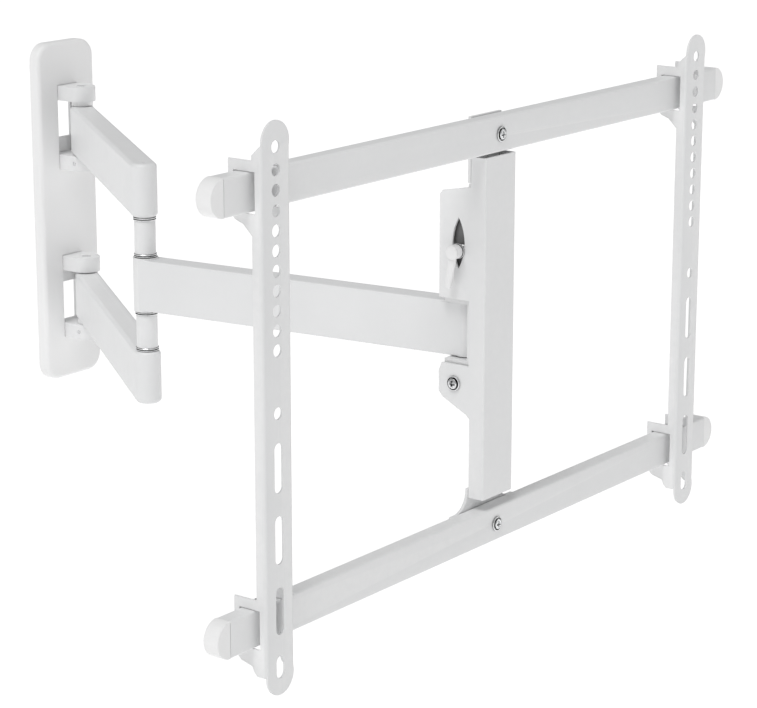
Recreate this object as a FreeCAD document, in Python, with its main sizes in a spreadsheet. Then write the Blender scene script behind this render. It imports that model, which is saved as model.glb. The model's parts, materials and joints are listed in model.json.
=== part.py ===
import FreeCAD, Part
import Sketcher
import os
import re

# Full motion TV wall mount: a wall bracket under a cover, two short arms one above the other, an elbow,
# one long arm, a head that swivels and tilts, two rails across it and two bars that slide on the rails.
# The wall is the plane Y = 0 and the screen side is -Y. Z = 0 is the middle plane of the arms and X = 0
# the middle of the wall bracket. The arms stand part folded: short arms swung left, long arm turned back.

DIMENSIONS = {
    # wall bracket, hinge lugs and cover
    "bracket_width": 70, "bracket_tall": 330, "bracket_thick": 3, "window_low": 76,
    "screw_x": 22, "screw_z": 148, "screw_hole": 4.5, "bracket_corner": 12,
    "lug_half": 14, "lug_inner": 60.4, "lug_outer": 116.2, "lug_thick": 15, "hinge_depth": 33,
    "cover_width": 81, "cover_tall": 350, "cover_front": 13, "cover_wall": 2.2, "cover_corner": 18,
    "cover_edge": 4.5, "wall_gap": 0.3,
    # hinge pins, bushes and washers
    "pin_radius": 5, "fit_gap": 0.05, "bush_outer": 7, "bush_length": 11, "hinge_washer": 0.8,
    "hinge_spacer": 4.8,
    "lock_screw": 2, "set_screw": 1.7,
    # short arms
    "short_length": 340, "short_heading": 37.4, "arm_half": 12, "short_low": 61.6, "short_high": 111,
    "arm_edge": 4, "tube_wall": 3,
    # elbow stack
    "axle_radius": 6, "axle_half": 104, "sleeve_radius": 9.7, "sleeve_low": 28.2, "washer_radius": 10.5,
    "washer_thick": 2.8,
    # long arm
    "long_length": 330, "long_heading": 6.8, "long_half": 11.5, "long_half_tall": 23.5,
    "barrel_half_tall": 24.8, "long_bush_outer": 8, "long_edge": 2,
    # swivel head; depths are behind the front of the bars
    "swivel_depth": 43, "head_half": 18.4, "head_front": 17.5, "head_back": 53.5, "head_top": 119,
    "head_foot": -56, "head_slot": 24.4, "head_slot_front": 30.5, "head_wall": 3.4, "boss_top": 37,
    "swivel_pin_half": 38, "swivel_washer": 0.6,
    # tilt frame
    "frame_half": 22, "frame_sheet": 2.5, "web_front": 10.5, "flange_back": 25.5, "frame_top": 150,
    "frame_foot": -142, "lobe_back": 57, "notch_depth": 26.5, "notch_top": 28.5, "notch_foot": -27.5,
    "pivot_depth": 41, "pivot_height": -44, "pivot_radius": 4, "clamp_height": 70, "clamp_radius": 3,
    "clamp_depth": 37.5, "lens_height": 76.5, "lens_tall": 43, "lens_wide": 12,
    "lever_back": 5, "lever_drop": 29, "lever_out": 1.8, "lever_half": 4, "lever_tip": 2.7, "screw_head": 4,
    # rails with their plates, caps and screws
    "rail_front": 11, "rail_back": 25.5, "rail_half_tall": 15, "rail_height": 167.5, "rail_half": 350,
    "rail_wall": 1.5, "rail_edge": 2, "cap_plug": 18, "plate_thick": 3,
    "plate_gap": 0.2, "plate_rise": 183.2, "foot_half": 46, "foot_flare": 18, "rail_screw": 3,
    # bars
    "bar_half": 17, "bar_round": 15.8, "bar_sheet": 1.6, "bar_deep": 9, "bar_top": 219.5, "bar_foot": -222.5,
    "cheek_top": 202, "cheek_foot": -205, "hook_back": 31, "hook_above": 23.7, "hook_below": 21,
    "hook_gap": 0.6, "hook_front": 6, "bar_hole": 4.75, "bar_bend": 3,
    "top_hole": 200, "first_hole": 183, "hole_pitch": 15, "left_bar_at": -305, "right_bar_at": 295,
}
SMALL_HOLES = 10
TINY = 0.01
SLOTS = ((-62, -23), (-118, -80), (-174, -136), (-209, -191))

# where the elbow, the head's swivel axis and the front of the bars stand
ELBOW_X = "-short_length * sin(short_heading)"
ELBOW_Y = "-hinge_depth - short_length * cos(short_heading)"
FRAME_X = ELBOW_X + " + long_length * sin(long_heading)"
SWIVEL_Y = ELBOW_Y + " - long_length * cos(long_heading)"
FRAME_AT = (FRAME_X, SWIVEL_Y + " - swivel_depth", 0)

doc = FreeCAD.newDocument("wall_mount")
sheet = doc.addObject("Spreadsheet::Sheet", "Dims")
for row, (alias, value) in enumerate(DIMENSIONS.items(), start=1):
    sheet.set("A%d" % row, alias)
    sheet.set("B%d" % row, str(value))
    sheet.setAlias("B%d" % row, alias)
doc.recompute()
nodes = []


def size(alias):
    return float(sheet.get(alias))


def bound(text):
    """An expression in which each dimension's name points at its cell of the sheet."""
    return re.sub("[a-z_]+", lambda word: point_at_cell(word.group()), str(text))


def point_at_cell(word):
    return "Dims." + word if word in DIMENSIONS else word


def bind(thing, **expressions):
    for name, text in expressions.items():
        thing.setExpression(name.replace("__", "."), bound(text))
    return thing


def place(thing, at):
    return bind(thing, Placement__Base__x=at[0], Placement__Base__y=at[1], Placement__Base__z=at[2])


def node(label, *things, at=None, heading=None):
    """Name a finished sub-part, stand it where it lives and list it for export."""
    thing = things[0]
    if at is not None or len(things) > 1:
        thing = doc.addObject("Part::Compound", "Piece")
        thing.Links = list(things)
        if heading is not None:
            upright = FreeCAD.Vector(0, 0, 1)
            thing.Placement = FreeCAD.Placement(FreeCAD.Vector(), FreeCAD.Rotation(upright, 1))
            bind(thing, Placement__Rotation__Angle=heading)
        place(thing, at or (0, 0, 0))
    thing.Label = label
    nodes.append(thing)


def box(low, high):
    """A box between two bound corners."""
    thing = doc.addObject("Part::Box", "Block")
    length, width, height = ["(%s) - (%s)" % (far, near) for near, far in zip(low, high)]
    bind(thing, Length=length, Width=width, Height=height)
    return place(thing, low)


def along(thing, axis, low, across):
    """Lay a thing that was made along +Z on an axis, from low, at its two other coordinates."""
    direction = {"X": FreeCAD.Vector(1, 0, 0), "Y": FreeCAD.Vector(0, 1, 0), "Z": FreeCAD.Vector(0, 0, 1)}
    thing.Placement = FreeCAD.Placement(FreeCAD.Vector(),
                                        FreeCAD.Rotation(FreeCAD.Vector(0, 0, 1), direction[axis]))
    spots = {"X": (low, across[0], across[1]), "Y": (across[0], low, across[1])}
    return place(thing, spots.get(axis, (across[0], across[1], low)))


def rod(radius, low, high, across=(0, 0), axis="Z"):
    """A round bar along an axis."""
    thing = doc.addObject("Part::Cylinder", "Rod")
    bind(thing, Radius=radius, Height="(%s) - (%s)" % (high, low))
    return along(thing, axis, low, across)


def nut(radius, hole, low, high, across, axis):
    """A six-sided nut along an axis."""
    thing = doc.addObject("Part::Prism", "Hexagon")
    thing.Polygon = 6
    bind(thing, Circumradius=radius, Height="(%s) - (%s)" % (high, low))
    return cut(along(thing, axis, low, across), rod(hole, low, high, across, axis))


def fuse(*things):
    if len(things) == 1:
        return things[0]
    union = doc.addObject("Part::MultiFuse", "Union")
    union.Shapes = list(things)
    union.Refine = True
    return union


def cut(base, *tools):
    trimmed = doc.addObject("Part::Cut", "Trimmed")
    trimmed.Base = base
    trimmed.Tool = fuse(*tools)
    return trimmed


def ring(outer, inner, low, high, across=(0, 0), axis="Z"):
    return cut(rod(outer, low, high, across, axis), rod(inner, low, high, across, axis))


def rounded(base, radius, wanted):
    """Round the edges that a test of the edge's bounding box picks."""
    doc.recompute()
    smooth = doc.addObject("Part::Fillet", "Rounded")
    smooth.Base = base
    picked = [i for i, edge in enumerate(base.Shape.Edges, start=1) if wanted(edge.BoundBox)]
    smooth.Edges = [(i, size(radius), size(radius)) for i in picked]
    return smooth


def along_x(span):
    return span.YLength < TINY and span.ZLength < TINY


def along_y(span):
    return span.XLength < TINY and span.ZLength < TINY


def along_z(span):
    return span.XLength < TINY and span.YLength < TINY


def outline(body, role, points):
    """A closed sketch of straight lines on an origin plane, with every corner bound from the origin."""
    sketch = body.newObject("Sketcher::SketchObject", "Outline")
    sketch.AttachmentSupport = [([face for face in body.Origin.OriginFeatures if face.Role == role][0], "")]
    sketch.MapMode = "FlatFace"
    count = len(points)
    corners = [FreeCAD.Vector(10 * i, i * i, 0) for i in range(count)]
    for i in range(count):
        sketch.addGeometry(Part.LineSegment(corners[i], corners[(i + 1) % count]), False)
    for i in range(count):
        sketch.addConstraint(Sketcher.Constraint("Coincident", i, 2, (i + 1) % count, 1))
    for i, (across, up) in enumerate(points):
        for kind, text, start in (("DistanceX", across, corners[i].x), ("DistanceY", up, corners[i].y)):
            index = sketch.addConstraint(Sketcher.Constraint(kind, -1, 1, i, 1, start))
            sketch.setExpression("Constraints[%d]" % index, bound(text))
    return sketch


def shape_body(body, kind, role, points, length):
    """Pad or pocket an outline evenly to both sides of an origin plane."""
    feature = body.newObject("PartDesign::" + kind, kind)
    feature.Profile = outline(body, role, points)
    feature.SideType = "Symmetric"
    bind(feature, Length=length)
    body.Tip = feature
    return body


def padded(role, points, length):
    return shape_body(doc.addObject("PartDesign::Body", "Body"), "Pad", role, points, length)


def rectangle(low, high):
    return [(low[0], low[1]), (high[0], low[1]), (high[0], high[1]), (low[0], high[1])]


def above_and_below(low, high):
    """The same span of heights above and below the middle plane."""
    return (low, high), ("-(%s)" % high, "-(%s)" % low)


# ---- wall side ---------------------------------------------------------------------------------------

HINGE = (0, "-hinge_depth")
LOWER = "-lug_inner - lug_outer"


def lock_screws():
    """Small screws that hold the hinge pins, one in the side of a lug of each arm."""
    heights = ("lug_inner - lug_thick/2", "-lug_outer - lug_thick/2")
    return [rod("lock_screw", "-lug_half - wall_gap", "-pin_radius", ("-hinge_depth", height), "X")
            for height in heights]


def wall_bracket():
    """Steel plate with four round-nosed lugs, windows between them and four holes for wall screws."""
    plate = box(("-bracket_width/2", "-bracket_thick", "-bracket_tall/2"),
                ("bracket_width/2", 0, "bracket_tall/2"))
    parts = [rounded(plate, "bracket_corner", along_y)]
    lugs = above_and_below("lug_inner - lug_thick", "lug_inner")
    lugs += above_and_below("lug_outer", "lug_outer + lug_thick")
    for low, high in lugs:
        parts.append(box(("-lug_half", "-hinge_depth", low), ("lug_half", "-bracket_thick/2", high)))
        parts.append(rod("lug_half", low, high, HINGE))
    tools = [rod("pin_radius", "-bracket_tall/2", "bracket_tall/2", HINGE)] + lock_screws()
    for low, high in above_and_below("window_low", "lug_outer"):
        tools.append(box(("-lug_half", "-2*bracket_thick", low), ("lug_half", 1, high)))
    for x in ("-screw_x", "screw_x"):
        for z in ("-screw_z", "screw_z"):
            tools.append(rod("screw_hole", "-2*bracket_thick", 1, (x, z), "Y"))
    return cut(fuse(*parts), *tools)


def wall_cover():
    """Moulded shell over the bracket, open at the back, with two openings that the lugs come through."""
    front = -size("cover_front")
    outer = box(("-cover_width/2", "-cover_front", "-cover_tall/2"),
                ("cover_width/2", "-wall_gap", "cover_tall/2"))
    outer = rounded(outer, "cover_corner", along_y)
    outer = rounded(outer, "cover_edge", lambda span: abs(span.YMax - front) < TINY)
    inner = box(("cover_wall - cover_width/2", "cover_wall - cover_front", "cover_wall - cover_tall/2"),
                ("cover_width/2 - cover_wall", 1, "cover_tall/2 - cover_wall"))
    tools = [rounded(inner, "cover_corner", along_y)]
    side = "lug_half + wall_gap"
    for low, high in above_and_below("lug_inner - lug_thick - wall_gap", "lug_outer + lug_thick + wall_gap"):
        tools.append(box(("-(%s)" % side, "-2*cover_front", low), (side, 1, high)))
    return cut(outer, *tools)


def hinge_washers(mirror):
    """A thin washer on an arm's inner lug and a thick one on its outer lug."""
    spans = above_and_below("lug_inner", "lug_inner + hinge_washer")
    spans += above_and_below("lug_outer - hinge_spacer", "lug_outer")
    return [ring("washer_radius", "pin_radius", low, high, HINGE) for low, high in spans[mirror::2]]


node("wall_bracket", wall_bracket())
node("wall_cover", wall_cover())
node("pin_lock_screws", *lock_screws())
for name, rise, mirror in (("upper", 0, 0), ("lower", LOWER, 1)):
    pin = rod("pin_radius", "lug_inner - lug_thick", "lug_outer + lug_thick", HINGE)
    node(name + "_hinge_pin", pin, at=(0, 0, rise))
    node(name + "_hinge_washers", *hinge_washers(mirror))


# ---- short arms and elbow ----------------------------------------------------------------------------

SHORT_MIDDLE = "(short_low + short_high)/2"
SHORT_HALF = "(short_high - short_low)/2"
SHORT_TURN = "-short_heading"


def tube_core(half, half_tall, length):
    """The hollow of an arm's tube, which opens into the bore at the arm's origin."""
    reach = "tube_wall + %s + 6" % half
    hollow = box(("tube_wall - " + half, "-%s + %s" % (length, reach), "tube_wall - " + half_tall),
                 (half + " - tube_wall", "-(%s)" % reach, half_tall + " - tube_wall"))
    channel = box(("-axle_radius/2", "-2*(%s)" % reach, "-axle_radius"), ("axle_radius/2", 0, "axle_radius"))
    return [hollow, channel]


def short_arm(blind_low, blind_high, screw_low, screw_high):
    """Flat-sided tube with round ends, from the wall hinge at its origin along -Y to the elbow."""
    elbow = (0, "-short_length")
    middle = box(("-arm_half", "-short_length", "-" + SHORT_HALF), ("arm_half", 0, SHORT_HALF))
    ends = [rod("arm_half", "-" + SHORT_HALF, SHORT_HALF, across) for across in ((0, 0), elbow)]
    level = (size("short_high") - size("short_low")) / 2
    arm = rounded(fuse(middle, *ends), "arm_edge",
                  lambda span: span.ZLength < TINY and abs(abs(span.ZMin) - level) < TINY)
    return cut(arm, rod("bush_outer", "-" + SHORT_HALF, SHORT_HALF),
               rod("axle_radius", blind_low, blind_high, elbow),
               rod("set_screw", screw_low, screw_high, elbow),
               *tube_core("arm_half", SHORT_HALF, "short_length"))


def hinge_bushes():
    """Two plain bushes pressed in an arm's wall end, one at each face."""
    return [ring("bush_outer", "pin_radius + fit_gap", low, high)
            for low, high in above_and_below(SHORT_HALF + " - bush_length", SHORT_HALF)]


def elbow_rings(outer, low, high):
    return [ring(outer, "axle_radius", bottom, top) for bottom, top in above_and_below(low, high)]


blind = "axle_half - " + SHORT_MIDDLE
for name, rise, bores in (
        ("upper", SHORT_MIDDLE, ("-" + SHORT_HALF, blind, 0, SHORT_HALF)),
        ("lower", "-" + SHORT_MIDDLE, ("-(%s)" % blind, SHORT_HALF, "-" + SHORT_HALF, 0))):
    spot = (0, "-hinge_depth", rise)
    node(name + "_short_arm", short_arm(*bores), at=spot, heading=SHORT_TURN)
    node(name + "_hinge_bushes", *hinge_bushes(), at=spot, heading=SHORT_TURN)

ELBOW_AT = (ELBOW_X, ELBOW_Y, 0)
sleeve_top = "short_low - washer_thick"
upper_sleeve, lower_sleeve = elbow_rings("sleeve_radius", "sleeve_low", sleeve_top)
node("elbow_axle", rod("axle_radius", "-axle_half", "axle_half"), at=ELBOW_AT)
node("upper_elbow_sleeve", upper_sleeve, at=ELBOW_AT)
node("lower_elbow_sleeve", lower_sleeve, at=ELBOW_AT)
node("elbow_washers", *elbow_rings("washer_radius", "sleeve_low - washer_thick", "sleeve_low"),
     *elbow_rings("washer_radius", sleeve_top, "short_low"), at=ELBOW_AT)
node("elbow_set_screws", *[rod("set_screw", low, high) for low, high in
                           above_and_below("axle_half", "short_high - set_screw")], at=ELBOW_AT)


# ---- long arm ----------------------------------------------------------------------------------------

HEAD_END = (0, "-long_length")


def long_arm():
    """Rectangular tube with a barrel at the elbow, its origin, and another at the head along -Y."""
    middle = box(("-long_half", "-long_length", "-long_half_tall"), ("long_half", 0, "long_half_tall"))
    arm = fuse(rounded(middle, "long_edge", along_y),
               rod("long_half", "-barrel_half_tall", "barrel_half_tall"),
               rod("long_half", "-long_half_tall", "long_half_tall", HEAD_END))
    bores = [rod("long_bush_outer", "-barrel_half_tall", "barrel_half_tall", across)
             for across in ((0, 0), HEAD_END)]
    return cut(arm, *bores, *tube_core("long_half", "long_half_tall", "long_length"))


def arm_bushes(half_tall, across):
    return [ring("long_bush_outer", "axle_radius + fit_gap", low, high, across)
            for low, high in above_and_below(half_tall + " - bush_length", half_tall)]


node("long_arm", long_arm(), at=ELBOW_AT, heading="long_heading")
node("elbow_bushes", *arm_bushes("barrel_half_tall", (0, 0)), at=ELBOW_AT, heading="long_heading")
node("swivel_bushes", *arm_bushes("long_half_tall", HEAD_END), at=ELBOW_AT, heading="long_heading")


# ---- swivel head, measured from the middle of the bars' fronts ---------------------------------------

SWIVEL = (0, "swivel_depth")
PIVOT = ("pivot_depth", "pivot_height")
CLAMP = ("clamp_depth", "clamp_height")
HOLLOW_FRONT = "head_front + head_wall"
WINDOW_LOW = "clamp_height - 20"
WINDOW_HIGH = "clamp_height + 30"
WINDOW_BACK = "head_back - 8"


def swivel_head():
    """Deep fork that holds the long arm's end on the swivel pin and carries the tilt pivot."""
    front, back = "head_front", "head_back"
    shoulder = "head_top - 45"
    body = padded("YZ_Plane", [(front, "head_foot + 16"), (front, shoulder), ("clamp_depth", "head_top"),
                               (back, "head_top"), (back, "head_foot + 6"), (back + " - 6", "head_foot"),
                               (front + " + 9", "head_foot")], "2*head_half")
    inside = "head_half - head_wall"
    return cut(body,
               box(("-2*head_half", "head_slot_front", "-head_slot"),
                   ("2*head_half", "2*head_back", "head_slot")),
               box(("-(%s)" % inside, HOLLOW_FRONT, "boss_top"), (inside, "2*head_back", "2*head_top")),
               box(("-2*head_half", HOLLOW_FRONT, WINDOW_LOW), ("2*head_half", WINDOW_BACK, WINDOW_HIGH)),
               rod("axle_radius", "-swivel_pin_half", "swivel_pin_half", SWIVEL),
               rod("pivot_radius + fit_gap", "-2*head_half", "2*head_half", PIVOT, "X"))


def head_liner():
    """Plastic sheets that fill the window in the head's left side, above and below the clamp bolt."""
    half_slot = "clamp_radius + 1.6"
    filling = box(("0.6 - head_half", HOLLOW_FRONT, WINDOW_LOW),
                  ("head_wall - head_half - 0.4", WINDOW_BACK, WINDOW_HIGH))
    return cut(filling, box(("-2*head_half", 0, "clamp_height - (%s)" % half_slot),
                          (0, "head_back", "clamp_height + %s" % half_slot)))


node("swivel_head", swivel_head(), at=FRAME_AT)
node("head_liner", head_liner(), at=FRAME_AT)
node("swivel_pin", rod("axle_radius", "-swivel_pin_half", "swivel_pin_half", SWIVEL), at=FRAME_AT)
node("swivel_washers", *[ring("washer_radius", "axle_radius", low, high, SWIVEL) for low, high in
                         above_and_below("head_slot - swivel_washer", "head_slot")], at=FRAME_AT)
node("tilt_washers", *[ring("2*pivot_radius + 1", "pivot_radius + 0.6", low, high, PIVOT, "X")
                       for low, high in above_and_below("head_half", "head_half + 0.8")], at=FRAME_AT)


# ---- tilt frame --------------------------------------------------------------------------------------

def tilt_frame():
    """Folded channel: a flat front with sides that widen into lobes above and below the arm."""
    back, lobe, notch = "flange_back", "lobe_back", "notch_depth"
    side = [("web_front", "frame_top"), (back, "frame_top"), (back, "head_top + 6"),
            (lobe + " - 17", "head_top + 3"), (lobe + " - 3", "head_top + 0.5"), (lobe, "head_top - 3"),
            (lobe, "notch_top"), (notch, "notch_top"), (notch, "notch_foot"),
            (lobe + " - 3", "notch_foot"), (lobe, "notch_foot - 7"), (lobe, "head_foot + 3"),
            (lobe + " - 4", "head_foot - 1.5"), (back + " + 3", "head_foot - 14"),
            (back, "head_foot - 17"), (back, "frame_foot"), ("web_front", "frame_foot")]
    body = padded("YZ_Plane", side, "2*frame_half")
    inside = "frame_half - frame_sheet"
    hollow = rectangle(("-(%s)" % inside, "web_front + frame_sheet"), (inside, "2*lobe_back"))
    shape_body(body, "Pocket", "XY_Plane", hollow, "3*frame_top")
    channel = rounded(body, "rail_edge", lambda span: along_z(span) and span.YMax < size("web_front") + TINY)
    return cut(channel, lens(), rod("clamp_radius", 0, "2*frame_half", CLAMP, "X"),
               rod("pivot_radius", "-2*frame_half", "2*frame_half", PIVOT, "X"))


def lens():
    """Pointed upright slot in the left side, around the clamp bolt: where two wide round bars overlap."""
    radius = "(lens_tall*lens_tall/4 + lens_wide*lens_wide/4)/lens_wide"
    shape = doc.addObject("Part::MultiCommon", "Lens")
    shape.Shapes = [rod(radius, "-2*frame_half", 0,
                        ("clamp_depth %s (%s - lens_wide/2)" % (sign, radius), "lens_height"), "X")
                    for sign in ("+", "-")]
    return shape


def screw(radius, head, low, high, across, axis, head_low):
    """A shank with a round head below it."""
    return fuse(rod(radius, low, high, across, axis), rod(head, head_low, low, across, axis))


def clamp_lever():
    """Boss and tapered handle that turn on the clamp bolt; the handle hangs down and back."""
    handle = padded("YZ_Plane", [("lever_half", 1), ("-lever_half", -1),
                                 ("lever_back - lever_tip", "-lever_drop - 0.5"),
                                 ("lever_back + lever_tip", "0.5 - lever_drop")], "clamp_radius + 0.5")
    handle = place(handle, ("-lever_out", 0, 0))
    boss = rod("2*clamp_radius", "-3.6", "3.6", axis="X")
    half = "(clamp_radius + 0.5)/2"
    tip = rod("lever_tip + 0.2", "-lever_out - " + half, half + " - lever_out",
              ("lever_back", "-lever_drop"), "X")
    bore = rod("clamp_radius + fit_gap", "-2*frame_half", "2*frame_half", axis="X")
    return cut(fuse(handle, boss, tip), bore)


flange, other = "-frame_half", "frame_half"
node("tilt_frame", tilt_frame(), at=FRAME_AT)
node("tilt_pivot_bolt", screw("pivot_radius", "pivot_radius + 2.5", flange, "frame_half + 5", PIVOT, "X",
                              flange + " - screw_head"), at=FRAME_AT)
node("tilt_pivot_nut", nut("2*pivot_radius", "pivot_radius", other, other + " + 6", PIVOT, "X"), at=FRAME_AT)
node("clamp_bolt", screw("clamp_radius", "2*clamp_radius", flange + " - 9.3", "frame_half + 5", CLAMP,
                         "X", flange + " - 11.3"), at=FRAME_AT)
node("clamp_washers", *[ring("clamp_radius + 3.5", "clamp_radius", low, high, CLAMP, "X") for low, high in
                        above_and_below("frame_half", "frame_half + 1.4")], at=FRAME_AT)
node("clamp_nut", nut("clamp_radius + 2.8", "clamp_radius", other + " + 1.4", other + " + 6.4", CLAMP, "X"),
     at=FRAME_AT)
node("clamp_lever", clamp_lever(), at=(FRAME_X + " - frame_half - 5.4", FRAME_AT[1] + " + clamp_depth",
                                       "clamp_height"))


# ---- rails -------------------------------------------------------------------------------------------

RAIL_MIDDLE = "(rail_front + rail_back)/2"
PLATE_FRONT = "rail_back + plate_gap"
PLATE_BACK = PLATE_FRONT + " + plate_thick"


def upper_rail_plate():
    """Flat plate across the back of the frame's sides that stands up behind the upper rail."""
    plate = box(("-frame_half", PLATE_FRONT, "head_top + 9"), ("frame_half", PLATE_BACK, "plate_rise"))
    return cut(plate, rod("rail_screw", 0, PLATE_BACK, (0, "rail_height"), "Y"))


def lower_rail_plate():
    """The same at the foot, with a wide foot behind the rail and flared corners into it."""
    top = "-rail_height + rail_half_tall - 1"
    stem = box(("-frame_half", PLATE_FRONT, "-plate_rise"), ("frame_half", PLATE_BACK, "frame_foot + 8"))
    foot = box(("-foot_half", PLATE_FRONT, "-plate_rise"), ("foot_half", PLATE_BACK, top))
    level = size("rail_half_tall") - size("rail_height") - 1
    plate = rounded(fuse(stem, foot), "foot_flare",
                    lambda span: along_y(span) and abs(span.ZMin - level) < TINY and span.XMax < 23 and
                    span.XMin > -23)
    return cut(plate, rod("rail_screw", 0, PLATE_BACK, (0, "-rail_height"), "Y"))


def rail(height):
    """Rectangular tube with softened edges, open at both ends, with a screw hole in the middle."""
    tube = box(("-rail_half", "rail_front", "-rail_half_tall"), ("rail_half", "rail_back", "rail_half_tall"))
    bore = box(("-2*rail_half", "rail_front + rail_wall", "rail_wall - rail_half_tall"),
               ("2*rail_half", "rail_back - rail_wall", "rail_half_tall - rail_wall"))
    return cut(rounded(tube, "rail_edge", along_x), bore,
               rod("rail_screw", 0, "2*rail_back", axis="Y"))


def rail_cap():
    """Moulded end: a half round nose, and a plug for the tube. The shoulder between is its origin."""
    half_deep = "(rail_back - rail_front)/2"
    nose = cut(rod("rail_half_tall", "-" + half_deep, half_deep, axis="Y"),
               box(("-2*rail_half_tall", "-rail_back", "-rail_half_tall"),
                   (0, "rail_back", "rail_half_tall")))
    inset = "(rail_wall + 2*fit_gap)"
    plug = box(("-cap_plug", "-%s + %s" % (half_deep, inset), "-rail_half_tall + " + inset),
               (1, "%s - %s" % (half_deep, inset), "rail_half_tall - " + inset))
    return fuse(nose, plug)


node("upper_rail_plate", upper_rail_plate(), at=FRAME_AT)
node("lower_rail_plate", lower_rail_plate(), at=FRAME_AT)
rail_screws = []
rail_nuts = []
for name, height in (("upper", "rail_height"), ("lower", "-rail_height")):
    node(name + "_rail", rail(height), at=(FRAME_AT[0], FRAME_AT[1], height))
    for side, sign, turn in (("left", "-", 180), ("right", "+", 0)):
        node("%s_%s_rail_cap" % (name, side), rail_cap(),
             at=("%s %s rail_half" % (FRAME_X, sign), "%s + %s" % (FRAME_AT[1], RAIL_MIDDLE), height),
             heading=turn)
    rail_screws.append(screw("rail_screw", "2*rail_screw + 0.4", "rail_front", PLATE_BACK + " + 5",
                             (0, height), "Y", "rail_front - rail_screw"))
    rail_nuts.append(nut("2*rail_screw", "rail_screw", PLATE_BACK, PLATE_BACK + " + 5", (0, height), "Y"))
node("rail_screws", *rail_screws, at=FRAME_AT)
node("rail_nuts", *rail_nuts, at=FRAME_AT)


# ---- bars --------------------------------------------------------------------------------------------

RAIL_HEIGHTS = ("rail_height", "-rail_height")


def bar():
    """Channel with a row of holes and slots, whose sides grow into closed hooks around both rails."""
    hook, deep = "hook_back", "bar_deep"
    side = [(0, "cheek_top"), ("bar_sheet", "cheek_top"), (deep, "cheek_top - 7"),
            (deep, "rail_height + hook_above"), (hook, "rail_height + hook_above"),
            (hook, "rail_height - hook_below + 6"), (hook + " - 6", "rail_height - hook_below"),
            (hook + " - 14", "rail_height - hook_below - 3"), (deep, "rail_height - hook_below - 11"),
            (deep, "hook_above - rail_height"), (hook, "hook_above - rail_height"),
            (hook, "-rail_height - hook_below"), (hook + " - 6", "-rail_height - hook_below - 6"),
            (hook + " - 17", "-rail_height - hook_below - 9"), (deep + " + 3", "cheek_foot + 3"),
            (deep, "cheek_foot"), (0, "cheek_foot")]
    body = padded("YZ_Plane", side, "2*bar_half")
    shape_body(body, "Pocket", "XY_Plane",
               rectangle(("bar_sheet - bar_half", "bar_sheet"), ("bar_half - bar_sheet", "2*hook_back")),
               "3*bar_top")
    folded = rounded(body, "bar_bend", lambda span: along_z(span) and span.YMax < TINY)
    parts = [folded]
    for middle in ("bar_top - bar_round", "bar_foot + bar_round"):
        parts.append(rod("bar_round", 0, "bar_sheet", (0, middle), "Y"))
    return cut(fuse(*parts), *bar_openings())


def bar_openings():
    """Round holes and slots in the front, and the openings that the rails pass through."""
    heights = ["top_hole", 0] + ["first_hole - %d*hole_pitch" % i for i in range(SMALL_HOLES)]
    tools = [rod("bar_hole", -1, "2*bar_sheet", (0, height), "Y") for height in heights]
    for low, high in SLOTS:
        ends = ("%d + bar_hole" % low, "%d - bar_hole" % high)
        tools.append(box(("-bar_hole", -1, ends[0]), ("bar_hole", "2*bar_sheet", ends[1])))
        tools += [rod("bar_hole", -1, "2*bar_sheet", (0, height), "Y") for height in ends]
    for height in RAIL_HEIGHTS:
        reach = "rail_half_tall + hook_gap"
        tools.append(box(("-2*bar_half", "hook_front", "%s - (%s)" % (height, reach)),
                         ("2*bar_half", "rail_back + hook_gap", "%s + %s" % (height, reach))))
    return tools


def bar_pads():
    """Two plastic pads between a bar's sides that ride on the backs of the rails."""
    pads = []
    for height in RAIL_HEIGHTS:
        pad = box(("bar_sheet - bar_half", "rail_back + 0.4", height + " - rail_half_tall + 1"),
                  ("bar_half - bar_sheet", "hook_back - 0.4", height + " + rail_half_tall - 1"))
        pads.append(cut(pad, rod("rail_screw - 0.5", 0, "2*rail_back", (0, height), "Y")))
    return pads


def bar_lock_screws():
    """Two thumb screws, one through each pad, that stop the bar from sliding."""
    return [fuse(rod("rail_screw - 0.5", "rail_back + 0.4", "hook_back + 1", (0, height), "Y"),
                 rod("2*rail_screw + 1", "hook_back - 0.4", "hook_back + 5", (0, height), "Y"))
            for height in RAIL_HEIGHTS]


for name in ("left_bar", "right_bar"):
    spot = ("%s + %s_at" % (FRAME_X, name), FRAME_AT[1], 0)
    node(name, bar(), at=spot)
    node(name + "_pads", *bar_pads(), at=spot)
    node(name + "_lock_screws", *bar_lock_screws(), at=spot)


# ---- check and write ---------------------------------------------------------------------------------

doc.recompute()
failed = [thing.Label for thing in doc.Objects if "Invalid" in thing.State or "Error" in thing.State]
failed += [thing.Label for thing in nodes if thing.Shape.isNull() or not thing.Shape.isValid()]
if failed:
    raise SystemExit("these did not build: " + ", ".join(failed))
os.makedirs("parts", exist_ok=True)
for thing in nodes:
    thing.Shape.exportStep("parts/%s.step" % thing.Label)
    print("%-24s solids %d, volume %.0f" % (thing.Label, len(thing.Shape.Solids), thing.Shape.Volume))
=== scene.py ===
import json
import math

import bmesh
import bpy
from mathutils import Matrix, Vector


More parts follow.
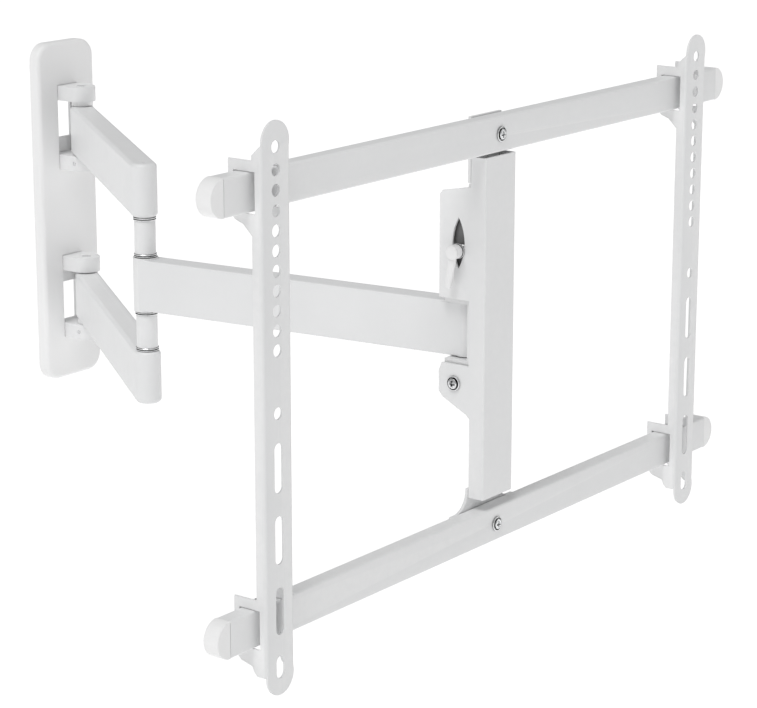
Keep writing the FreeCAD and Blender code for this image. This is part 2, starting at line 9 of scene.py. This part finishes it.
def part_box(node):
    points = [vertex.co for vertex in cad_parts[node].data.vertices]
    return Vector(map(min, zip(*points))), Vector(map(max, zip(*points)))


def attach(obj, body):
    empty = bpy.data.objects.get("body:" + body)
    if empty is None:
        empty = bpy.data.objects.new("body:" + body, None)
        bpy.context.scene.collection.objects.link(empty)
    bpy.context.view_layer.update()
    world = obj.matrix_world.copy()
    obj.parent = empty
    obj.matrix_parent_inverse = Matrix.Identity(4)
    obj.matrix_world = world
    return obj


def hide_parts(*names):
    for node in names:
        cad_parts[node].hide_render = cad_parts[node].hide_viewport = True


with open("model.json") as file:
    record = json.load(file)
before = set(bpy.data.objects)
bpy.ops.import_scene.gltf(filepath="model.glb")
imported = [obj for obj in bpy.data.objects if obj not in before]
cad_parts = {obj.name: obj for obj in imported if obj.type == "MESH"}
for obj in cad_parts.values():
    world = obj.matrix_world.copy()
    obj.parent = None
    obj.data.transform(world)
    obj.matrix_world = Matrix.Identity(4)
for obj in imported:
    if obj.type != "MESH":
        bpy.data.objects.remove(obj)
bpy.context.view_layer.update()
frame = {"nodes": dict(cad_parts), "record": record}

MM = 0.001
scene = bpy.context.scene

# ---- materials ---------------------------------------------------------------------------------------


class Nodes:
    """Adds and joins shader nodes in one material."""

    def __init__(self, name):
        self.material = bpy.data.materials.new(name)
        self.material.use_nodes = True
        self.tree = self.material.node_tree
        self.shader = self.tree.nodes["Principled BSDF"]

    def add(self, kind, **values):
        made = self.tree.nodes.new(kind)
        for name, value in values.items():
            if hasattr(made, name):
                setattr(made, name, value)
            else:
                made.inputs[name.replace("_", " ")].default_value = value
        return made

    def join(self, source, output, target, socket):
        self.tree.links.new(source.outputs[output], target.inputs[socket])

    def ramp(self, source, output, stops):
        made = self.add("ShaderNodeValToRGB")
        while len(made.color_ramp.elements) < len(stops):
            made.color_ramp.elements.new(0.5)
        for element, (place, colour) in zip(made.color_ramp.elements, stops):
            element.position = place
            element.color = (*colour, 1) if isinstance(colour, tuple) else (colour, colour, colour, 1)
        self.join(source, output, made, "Fac")
        return made


CLOUDS_PER_M = 14.0
PATCHES_PER_M = 160.0
GLOSS_PER_M = 90.0
GRAIN_HEIGHT_M = 0.0002


def noise(n, coords, scale, detail=3.0, stretch=None):
    """Noise in the object's own coordinates, in features per metre."""
    source, output = coords, "Object"
    if stretch:
        mapping = n.add("ShaderNodeMapping")
        mapping.inputs["Scale"].default_value = stretch
        n.join(coords, "Object", mapping, "Vector")
        source, output = mapping, "Vector"
    made = n.add("ShaderNodeTexNoise", Scale=scale, Detail=detail)
    n.join(source, output, made, "Vector")
    return made


def finish_material(name, base, shade, rough, grain_scale, grain_bump, edge, metallic=0.0, coat=0.0,
                    stretch=None, painted_shade_keep=0.8, painted_shade_reach_mm=2.0):
    """A finish with cloudy colour, uneven gloss, a fine grain, a painted highlight along sharp edges and
    painted shade in seams and recesses.

    base and shade are the cloud colours, rough is the range of roughness and edge the colour of the painted
    highlight along sharp edges.
    cavity is the share of its colour that a recess keeps under the painted shade, and
    painted_shade_reach_mm the reach of that painted shade in millimetres.
    """
    n = Nodes(name)
    coords = n.add("ShaderNodeTexCoord")
    clouds = noise(n, coords, CLOUDS_PER_M, 4.0)
    tint = n.ramp(clouds, "Fac", [(0.3, shade), (0.7, base)])
    # Painted highlight: the edge colour is mixed in, in patches, along sharp edges. It is lighter than the
    # base except on the white plastic, where it is slightly darker.
    geometry = n.add("ShaderNodeNewGeometry")
    sharp_edge_mask = n.ramp(geometry, "Pointiness", [(0.5, 0.0), (0.56, 1.0)])
    patches = noise(n, coords, PATCHES_PER_M, 5.0)
    amount = n.add("ShaderNodeMath", operation="MULTIPLY")
    n.join(sharp_edge_mask, "Color", amount, 0)
    n.join(patches, "Fac", amount, 1)
    painted_edge_highlight = n.add("ShaderNodeMixRGB")
    painted_edge_highlight.inputs["Color2"].default_value = (*edge, 1)
    n.join(amount, "Value", painted_edge_highlight, "Fac")
    n.join(tint, "Color", painted_edge_highlight, "Color1")
    # Painted shade: ambient occlusion darkens the colour in seams, recesses and gaps between parts.
    recess = n.add("ShaderNodeAmbientOcclusion", Distance=painted_shade_reach_mm * MM)
    painted_shade_ramp = n.ramp(recess, "AO", [(0.25, painted_shade_keep), (0.85, 1.0)])
    colour = n.add("ShaderNodeMixRGB", blend_type="MULTIPLY", Fac=1.0)
    n.join(painted_edge_highlight, "Color", colour, "Color1")
    n.join(painted_shade_ramp, "Color", colour, "Color2")
    n.join(colour, "Color", n.shader, "Base Color")
    gloss = noise(n, coords, GLOSS_PER_M, 5.0)
    roughness = n.ramp(gloss, "Fac", [(0.3, rough[0]), (0.75, rough[1])])
    n.join(roughness, "Color", n.shader, "Roughness")
    grain = noise(n, coords, grain_scale, 2.0, stretch)
    bump = n.add("ShaderNodeBump", Strength=grain_bump, Distance=GRAIN_HEIGHT_M)
    n.join(grain, "Fac", bump, "Height")
    n.join(bump, "Normal", n.shader, "Normal")
    n.shader.inputs["Metallic"].default_value = metallic
    n.shader.inputs["Coat Weight"].default_value = coat
    n.shader.inputs["Coat Roughness"].default_value = 0.25
    return n.material


# The last colour given to each finish is its painted edge highlight.
FINISHES = {
    "white_powder_coat": finish_material("powder_coat", (0.80, 0.805, 0.81), (0.775, 0.78, 0.785),
                                         (0.36, 0.5), 1400.0, 0.22, (0.86, 0.86, 0.86), coat=0.08),
    "white_plastic": finish_material("moulded_white", (0.90, 0.90, 0.903), (0.88, 0.88, 0.88), (0.42, 0.55),
                                     2600.0, 0.15, (0.87, 0.87, 0.87)),
    "grey_nylon": finish_material("grey_nylon", (0.11, 0.11, 0.115), (0.08, 0.08, 0.083), (0.5, 0.65),
                                  1800.0, 0.2, (0.2, 0.2, 0.2)),
    # The zinc plate's recesses, such as the screws' cross recesses, get painted shade that is nearly black.
    "zinc_steel": finish_material("zinc_plate", (0.78, 0.79, 0.80), (0.68, 0.69, 0.70), (0.16, 0.32),
                                  900.0, 0.12, (0.8, 0.8, 0.8), metallic=1.0, stretch=(1.0, 1.0, 14.0),
                                  painted_shade_keep=0.03, painted_shade_reach_mm=3.0),
}


# ---- the frame's own pieces --------------------------------------------------------------------------

SLOT_OF = {part["node"]: part["material_slot"] for part in frame["record"]["subparts"]}
PLAIN_BEVEL = 0.25
BEVELS = {
    "wall_bracket": 0.6, "wall_cover": 0.0, "upper_short_arm": 0.5, "lower_short_arm": 0.5, "long_arm": 0.7,
    "swivel_head": 0.6, "tilt_frame": 0.5, "upper_rail_plate": 0.5, "lower_rail_plate": 0.5,
    "upper_rail": 0.3, "lower_rail": 0.3, "left_bar": 0.4, "right_bar": 0.4,
    "upper_left_rail_cap": 1.6, "upper_right_rail_cap": 1.6, "lower_left_rail_cap": 1.6,
    "lower_right_rail_cap": 1.6, "left_bar_pads": 0.8, "right_bar_pads": 0.8,
}


WELD_M = 0.00001
FLAT_DEG = 0.5
SHARP_DEG = 35


def soften(thing, width):
    """Join flat faces into whole ones, then round the sharp edges by a width in millimetres."""
    weld = thing.modifiers.new("weld", "WELD")
    weld.merge_threshold = WELD_M
    flat = thing.modifiers.new("flat", "DECIMATE")
    flat.decimate_type = "DISSOLVE"
    flat.angle_limit = math.radians(FLAT_DEG)
    bevel = thing.modifiers.new("edges", "BEVEL")
    bevel.width = width * MM
    bevel.segments = 3
    bevel.limit_method = "ANGLE"
    bevel.angle_limit = math.radians(SHARP_DEG)
    bevel.use_clamp_overlap = True
    bevel.harden_normals = True


for name, thing in frame["nodes"].items():
    thing.data.materials.clear()
    thing.data.materials.append(FINISHES[SLOT_OF[name]])
    width = BEVELS.get(name, PLAIN_BEVEL)
    if width:
        soften(thing, width)


# ---- finer pieces that stand for frame pieces --------------------------------------------------------

PIVOTS = {joint["name"]: Vector(joint["pos_m"]) for joint in frame["record"]["behaviour"]["joints"]
          if "pos_m" in joint}
TOWARDS = {"X": Vector((-1, 0, 0)), "Y": Vector((0, -1, 0)), "Z": Vector((0, 0, 1))}

RAIL_SCREW_SHANK = 3 * MM
PIVOT_SCREW_SHANK = 4 * MM
CLAMP_BOLT_SHANK = 3 * MM
THUMB_SCREW_SHANK = 2.5 * MM
ELBOW_RING_BORE = 6.05 * MM
DOME_STEPS = 22
KNOB_STEPS = 14


def levels(name, axis):
    """The different places along an axis at which a frame piece has corners, in order."""
    return sorted({round(corner.co["XYZ".index(axis)], 5) for corner in frame["nodes"][name].data.vertices})


def stand(at, axis):
    """The frame that has its own Z along an axis, out of the object's face."""
    return Matrix.Translation(at) @ TOWARDS[axis].to_track_quat("Z", "Y").to_matrix().to_4x4()


def turned(made, frame_at, profile, around=64, lower=None, knurl=0.0):
    """A turned shape from (radius, height) pairs in metres. A radius of 0 closes it to a point.

    lower sinks what is above height 0, by a function of the place; knurl is the depth of a gripped rim.
    """
    rows = []
    for radius, height in profile:
        row = []
        for i in range(around if radius > 0 else 1):
            angle = 2 * math.pi * i / around
            grip = 1 + knurl * math.cos(around / 4 * angle)
            x, y = radius * grip * math.cos(angle), radius * grip * math.sin(angle)
            drop = lower(x, y) if lower and height > 0 else 0.0
            row.append(made.verts.new(frame_at @ Vector((x, y, height - drop))))
        rows.append(row)
    for below, above in zip(rows, rows[1:]):
        for i in range(around):
            j = (i + 1) % around
            corners = [row[k % len(row)] for row, k in ((below, i), (below, j), (above, j), (above, i))]
            corners = list(dict.fromkeys(corners))
            if len(corners) > 2:
                made.faces.new(corners)


def cross_recess(length, half_width, depth):
    """How far the face of a screw head is sunk at a point by its cross shaped recess."""
    def arm(along, across):
        end = min(1.0, max(0.0, (length - abs(along)) / (0.45 * length)))
        side = min(1.0, max(0.0, (half_width - abs(across)) / (0.5 * half_width)))
        return end * side

    return lambda x, y: depth * max(arm(x, y), arm(y, x))


def pan_head_screw(made, at, axis, radius, tall, shank, reach):
    """A screw with a rimmed pan head, a groove round its crown and a cross recess. at: under the head."""
    place = stand(at, axis)
    crown = 0.68 * radius
    recess = cross_recess(0.7 * crown, 0.17 * radius, 0.55 * tall)
    body = [(0.0, -reach), (shank - 0.4 * MM, -reach), (shank, -reach + 0.5 * MM), (shank, 0.0)]
    rim = [(radius - 0.3 * MM, 0.0), (radius, 0.3 * MM), (radius, 0.34 * tall),
           (radius - 0.25 * MM, 0.42 * tall), (0.88 * radius, 0.44 * tall)]
    groove = [(0.86 * radius, 0.30 * tall), (0.85 * radius, 0.10 * tall), (0.70 * radius, 0.10 * tall)]
    dome = [(crown * i / DOME_STEPS, tall * (0.97 - 0.30 * (i / DOME_STEPS) ** 2.6))
            for i in range(DOME_STEPS, -1, -1)]
    turned(made, place, body + rim + groove + dome, around=96, lower=recess)


def finish_piece(name, made, body, *stands_for):
    """Make a built mesh into a named piece that rides on a body in place of frame pieces."""
    bmesh.ops.remove_doubles(made, verts=made.verts, dist=0.000001)
    bmesh.ops.recalc_face_normals(made, faces=made.faces)
    for face in made.faces:
        face.smooth = True
    mesh = bpy.data.meshes.new(name)
    made.to_mesh(mesh)
    made.free()
    mesh.set_sharp_from_angle(angle=math.radians(38))
    thing = bpy.data.objects.new(name, mesh)
    scene.collection.objects.link(thing)
    mesh.materials.append(FINISHES[SLOT_OF[stands_for[0]]])
    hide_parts(*stands_for)
    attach(thing, body)


def screws_along_y(low, high, y):
    """The head radius of a lower and an upper screw in a box, and their axes' places at y."""
    radius = (high[0] - low[0]) / 2
    middle = (low[0] + high[0]) / 2
    return radius, [Vector((middle, y, height)) for height in (low[2] + radius, high[2] - radius)]


def screw_along_x(low, high, x):
    """The head radius of the one screw in a box, and its axis' place at x."""
    return (high[2] - low[2]) / 2, Vector((x, (low[1] + high[1]) / 2, (low[2] + high[2]) / 2))


def rail_screws():
    """The screws that hold the rails to the frame, one on each rail."""
    made = bmesh.new()
    low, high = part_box("rail_screws")
    head_low, head_high = levels("rail_screws", "Y")[:2]
    radius, places = screws_along_y(low, high, head_high)
    for at in places:
        pan_head_screw(made, at, "Y", radius, head_high - head_low, RAIL_SCREW_SHANK, high[1] - head_high)
    finish_piece("cross_head_rail_screws", made, "tilt_frame", "rail_screws")


def pivot_screw():
    """The screw below the arm, on which the frame tilts."""
    made = bmesh.new()
    low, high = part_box("tilt_pivot_bolt")
    head_low, head_high = levels("tilt_pivot_bolt", "X")[:2]
    radius, at = screw_along_x(low, high, head_high)
    pan_head_screw(made, at, "X", radius, head_high - head_low, PIVOT_SCREW_SHANK, high[0] - head_high)
    finish_piece("cross_head_pivot_screw", made, "tilt_frame", "tilt_pivot_bolt")


def clamp_knob():
    """The clamp bolt's domed head on its shank."""
    made = bmesh.new()
    low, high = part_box("clamp_bolt")
    head_low, head_high = levels("clamp_bolt", "X")[:2]
    radius, at = screw_along_x(low, high, head_high)
    tall, end = head_high - head_low, head_high - high[0]
    crown = [(radius * math.cos(turn), tall * (0.25 + 0.75 * math.sin(turn)))
             for turn in (math.pi / 2 * i / KNOB_STEPS for i in range(KNOB_STEPS + 1))]
    crown[-1] = (0.0, tall)
    turned(made, stand(at, "X"), [(0.0, end), (CLAMP_BOLT_SHANK, end), (CLAMP_BOLT_SHANK, 0.0),
                                  (radius - 0.3 * MM, 0.0), (radius, 0.1 * tall)] + crown)
    finish_piece("domed_clamp_knob", made, "tilt_frame", "clamp_bolt")


def elbow_rings():
    """Washers with softened rims and a groove in the middle of each."""
    made = bmesh.new()
    low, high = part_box("elbow_washers")
    radius = (high[0] - low[0]) / 2
    bore, groove = ELBOW_RING_BORE, radius - 1.3 * MM
    heights = levels("elbow_washers", "Z")
    for under, over in zip(heights[::2], heights[1::2]):
        at = Vector((PIVOTS["elbow"].x, PIVOTS["elbow"].y, (under + over) / 2))
        half = (over - under) / 2
        side = [(bore, -half), (radius - 0.3 * MM, -half), (radius, -0.75 * half), (radius, -0.4 * half),
                (groove, -0.28 * half), (groove, 0.28 * half), (radius, 0.4 * half),
                (radius, 0.75 * half), (radius - 0.3 * MM, half), (bore, half), (bore, -half)]
        turned(made, stand(at, "Z"), side, around=72)
    finish_piece("grooved_elbow_washers", made, "short_arms", "elbow_washers")


def thumb_screws(side):
    """The screws with gripped rims that hold one bar to both rails, with their heads at the back."""
    made = bmesh.new()
    name = side + "_bar_lock_screws"
    low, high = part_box(name)
    under = levels(name, "Y")[1]
    start, top = low[1] - under, high[1] - under
    shank = THUMB_SCREW_SHANK
    radius, places = screws_along_y(low, high, under)
    for at in places:
        place = stand(at, "Y") @ Matrix.Rotation(math.pi, 4, "X")
        turned(made, place, [(0.0, start), (shank, start), (shank, 0.0), (0.7 * radius, 0.0)], around=40)
        turned(made, place, [(0.7 * radius, 0.0), (0.9 * radius, 0.1 * top), (0.97 * radius, 0.25 * top),
                             (0.97 * radius, 0.8 * top), (0.9 * radius, 0.95 * top), (0.78 * radius, top),
                             (0.6 * radius, top), (0.5 * radius, 0.8 * top), (0.0, 0.78 * top)],
               around=120, knurl=0.03)
    finish_piece(side + "_knurled_thumb_screws", made, side + "_bar", name)


LEVER_BORE = 3.05 * MM
HANDLE_OUT = 1.8 * MM
HANDLE_TIP = Vector((0, 5 * MM, -29 * MM))
HANDLE_START = 4.2 * MM
HANDLE_PAST_TIP = 2.6 * MM
HANDLE_STEPS = 40
HANDLE_AROUND = 32
ROUND_TIP_FROM = 0.9
SQUARENESS = 0.75


def lever():
    """Boss with softened rims and a handle of rounded section that tapers to a round tip."""
    made = bmesh.new()
    at = PIVOTS["clamp_lever_turn"]
    low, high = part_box("clamp_lever")
    boss, half = high[2] - at.z, (high[0] - low[0]) / 2
    bore = LEVER_BORE
    outside = [(boss - 0.8 * MM, -half), (boss - 0.2 * MM, 0.4 * MM - half), (boss, 1.2 * MM - half),
               (boss, half - 1.2 * MM), (boss - 0.2 * MM, half - 0.4 * MM), (boss - 0.8 * MM, half)]
    turned(made, stand(at, "X"), [(bore, -half), *outside, (bore, half), (bore, -half)])
    outward = Vector((-HANDLE_OUT, 0, 0))
    reach = HANDLE_TIP.length
    down = HANDLE_TIP.normalized()
    across = Vector((0, -down.z, down.y))
    rings = []
    for step in range(HANDLE_STEPS + 1):
        place = step / HANDLE_STEPS
        along = HANDLE_START + place * (reach + HANDLE_PAST_TIP - HANDLE_START)
        close = math.sqrt(max(0.0, 1 - max(0.0, (place - ROUND_TIP_FROM) / (1 - ROUND_TIP_FROM)) ** 2))
        wide = (3.9 - 1.1 * place) * MM * max(close, 0.02)
        thick = (1.75 - 0.25 * math.sin(math.pi * place)) * MM * max(close, 0.02)
        ring = []
        for i in range(HANDLE_AROUND):
            angle = 2 * math.pi * i / HANDLE_AROUND
            c, w = math.cos(angle), math.sin(angle)
            offset = across * wide * math.copysign(abs(c) ** SQUARENESS, c)
            offset.x = thick * math.copysign(abs(w) ** SQUARENESS, w)
            ring.append(made.verts.new(at + outward + down * along + offset))
        rings.append(ring)
    for near, far in zip(rings, rings[1:]):
        for i in range(HANDLE_AROUND):
            j = (i + 1) % HANDLE_AROUND
            made.faces.new([near[i], near[j], far[j], far[i]])
    made.faces.new(rings[0])
    made.faces.new(rings[-1])
    finish_piece("moulded_lever", made, "clamp_lever", "clamp_lever")


rail_screws()
pivot_screw()
elbow_rings()
thumb_screws("left")
thumb_screws("right")
clamp_knob()
lever()


# ---- stage, light and camera -------------------------------------------------------------------------

def studio_floor():
    """A pale floor well below the part, which glows a little so that it stays white."""
    mesh = bpy.data.meshes.new("floor")
    made = bmesh.new()
    bmesh.ops.create_grid(made, x_segments=8, y_segments=8, size=30)
    made.to_mesh(mesh)
    made.free()
    floor = bpy.data.objects.new("floor", mesh)
    floor.location.z = -1.1
    scene.collection.objects.link(floor)
    n = Nodes("floor")
    coords = n.add("ShaderNodeTexCoord")
    soft = noise(n, coords, 0.6)
    tint = n.ramp(soft, "Fac", [(0.3, 0.93), (0.7, 0.95)])
    n.join(tint, "Color", n.shader, "Base Color")
    n.shader.inputs["Roughness"].default_value = 0.9
    n.shader.inputs["Specular IOR Level"].default_value = 0.1
    n.shader.inputs["Emission Color"].default_value = (1, 1, 1, 1)
    n.shader.inputs["Emission Strength"].default_value = 0.34
    mesh.materials.append(n.material)


def sun(name, strength, direction, spread):
    """A distant soft lamp that shines from a direction, spread over an angle in degrees."""
    lamp = bpy.data.lights.new(name, "SUN")
    lamp.energy = strength
    lamp.angle = math.radians(spread)
    thing = bpy.data.objects.new(name, lamp)
    thing.rotation_euler = Vector(direction).to_track_quat("Z", "Y").to_euler()
    scene.collection.objects.link(thing)


studio_floor()
world = bpy.data.worlds.new("studio")
world.use_nodes = True
world.node_tree.nodes["Background"].inputs["Color"].default_value = (1, 1, 1, 1)
world.node_tree.nodes["Background"].inputs["Strength"].default_value = 0.385
scene.world = world
sun("key", 1.5, (-0.58, -0.06, 1.0), 30)
sun("fill", 0.25, (0.7, -0.7, 0.1), 40)
scene.view_settings.view_transform = "Standard"

# The photograph's viewing angle, fitted to the part without lens shift.
camera = bpy.data.objects.new("camera", bpy.data.cameras.new("camera"))
camera.data.lens = 122.4
camera.data.sensor_width = 36
camera.data.clip_end = 100
camera.location = (-1.8942, -1.8384, 0.5162)
camera.rotation_euler = (math.radians(75.625), 0, math.radians(-52.995))
scene.collection.objects.link(camera)
scene.camera = camera
